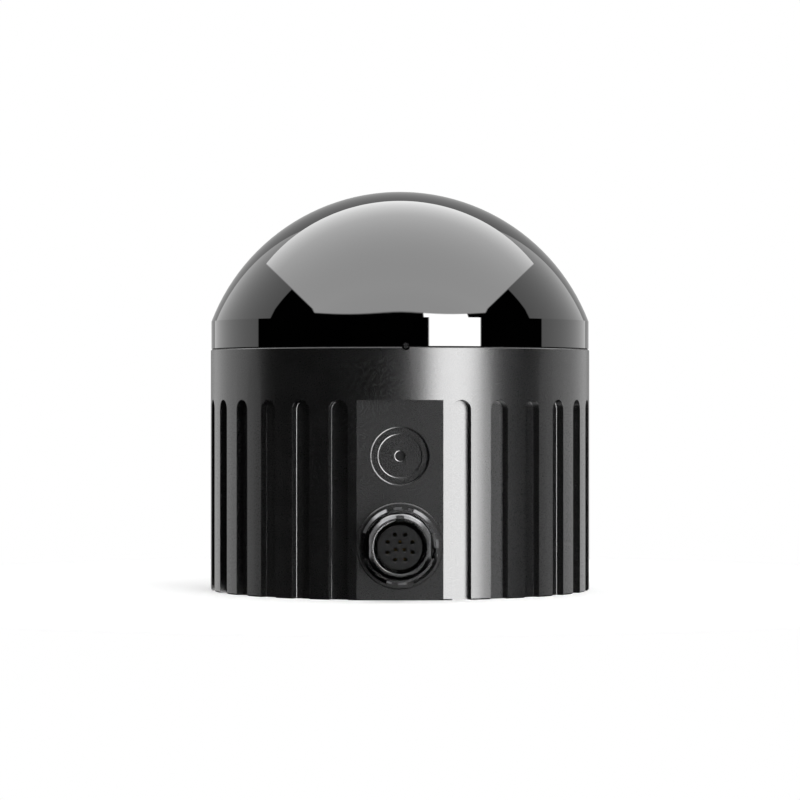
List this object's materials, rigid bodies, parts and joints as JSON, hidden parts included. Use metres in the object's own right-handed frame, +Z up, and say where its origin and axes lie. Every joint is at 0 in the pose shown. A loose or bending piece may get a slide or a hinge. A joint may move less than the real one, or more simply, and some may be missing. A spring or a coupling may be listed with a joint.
{
  "type": "dome lidar sensor",
  "caption": "Compact scanning range sensor with a finned round housing, a black domed window and a side cable receptacle, holding a spinning tilted optical head.",
  "frame": {"origin": "centre of the flat mounting face at the bottom of the housing", "axes": "+Z up along the housing's axis and the rotor's spin axis, -Y out of the front flat, towards the plug that the cable receptacle takes, +X to the right seen from the front"},
  "size_m": [0.06, 0.0646, 0.063],
  "materials": {
    "black_anodised": "black anodised aluminium, satin",
    "dome_window": "polished black polycarbonate that looks opaque and passes infrared",
    "seal_rubber": "moulded rubber",
    "pin_black": "moulded black plastic",
    "vent_black": "black anodised, satin",
    "membrane": "porous white film",
    "black_chrome": "black chrome over brass",
    "steel_dark": "blackened steel",
    "steel_bright": "plain steel",
    "bearing_steel": "ground bearing steel",
    "cage_brass": "pressed brass",
    "gold_contact": "gold-plated brass",
    "board_green": "solder-masked laminate",
    "flex_amber": "amber flexible film",
    "chip_black": "moulded chip packages",
    "pad_grey": "soft filled pad",
    "brass_post": "turned brass",
    "bare_aluminium": "turned aluminium",
    "lamination": "stacked electrical steel",
    "copper": "enamelled copper wire",
    "magnet_nickel": "nickel-plated magnets",
    "ferrite": "sintered ferrite",
    "encoder_steel": "etched steel",
    "weight_tungsten": "sintered tungsten alloy",
    "coated_glass": "coated optical glass",
    "baffle_black": "light-absorbing black"
  },
  "bodies": {
    "base": {"housing": "black_anodised", "dome": "dome_window", "dome_seal": "seal_rubber", "dome_index_pin": "pin_black", "base_plate": "black_anodised", "base_gasket": "seal_rubber", "base_screws": "steel_dark", "receptacle_shell": "black_chrome", "receptacle_insulator": "pin_black", "receptacle_contacts": "gold_contact", "receptacle_seal": "seal_rubber", "receptacle_washer": "steel_dark", "receptacle_nut": "black_chrome", "receptacle_board": "board_green", "receptacle_flex": "flex_amber", "vent_cap": "vent_black", "vent_membrane": "membrane", "power_board": "board_green", "power_inductors": "chip_black", "main_board": "board_green", "board_chips": "chip_black", "thermal_pad": "pad_grey", "board_standoffs": "brass_post", "board_screws": "steel_bright", "motor_hub": "bare_aluminium", "hub_screws": "steel_bright", "bearing_outer_rings": "bearing_steel", "bearing_spacer": "bearing_steel", "stator_core": "lamination", "stator_windings": "copper", "primary_ferrite": "ferrite", "primary_coil": "copper", "encoder_board": "board_green"},
    "rotor": {"rotor_base": "bare_aluminium", "shaft": "steel_bright", "shaft_clip": "steel_bright", "bearing_inner_rings": "bearing_steel", "rotor_magnets": "magnet_nickel", "rotor_yoke": "lamination", "secondary_ferrite": "ferrite", "secondary_coil": "copper", "encoder_disc": "encoder_steel", "rotor_screws": "steel_bright", "balance_weight": "weight_tungsten", "rotor_board": "board_green", "optics_frame": "black_anodised", "optics_block": "black_anodised", "receiver_barrel": "black_anodised", "emitter_barrel": "black_anodised", "receiver_lenses": "coated_glass", "emitter_lenses": "coated_glass", "receiver_board": "board_green", "emitter_board": "board_green", "optics_screws": "steel_bright", "optics_baffle": "baffle_black", "optics_flexes": "flex_amber"},
    "lower_balls": {"lower_bearing_cage": "cage_brass", "lower_bearing_balls": "bearing_steel"},
    "upper_balls": {"upper_bearing_cage": "cage_brass", "upper_bearing_balls": "bearing_steel"}
  },
  "joints": [
    {"name": "rotor_spin", "type": "hinge", "parent": "base", "child": "rotor", "pos_m": [0, 0, 0], "axis": [0, 0, 1], "continuous": true},
    {"name": "lower_ball_roll", "type": "hinge", "parent": "base", "child": "lower_balls", "pos_m": [0, 0, 0], "axis": [0, 0, 1], "continuous": true},
    {"name": "upper_ball_roll", "type": "hinge", "parent": "base", "child": "upper_balls", "pos_m": [0, 0, 0], "axis": [0, 0, 1], "continuous": true}
  ],
  "couplings": [
    {"joint": "lower_ball_roll", "follows": "rotor_spin", "ratio": 0.4214},
    {"joint": "upper_ball_roll", "follows": "rotor_spin", "ratio": 0.4214}
  ]
}
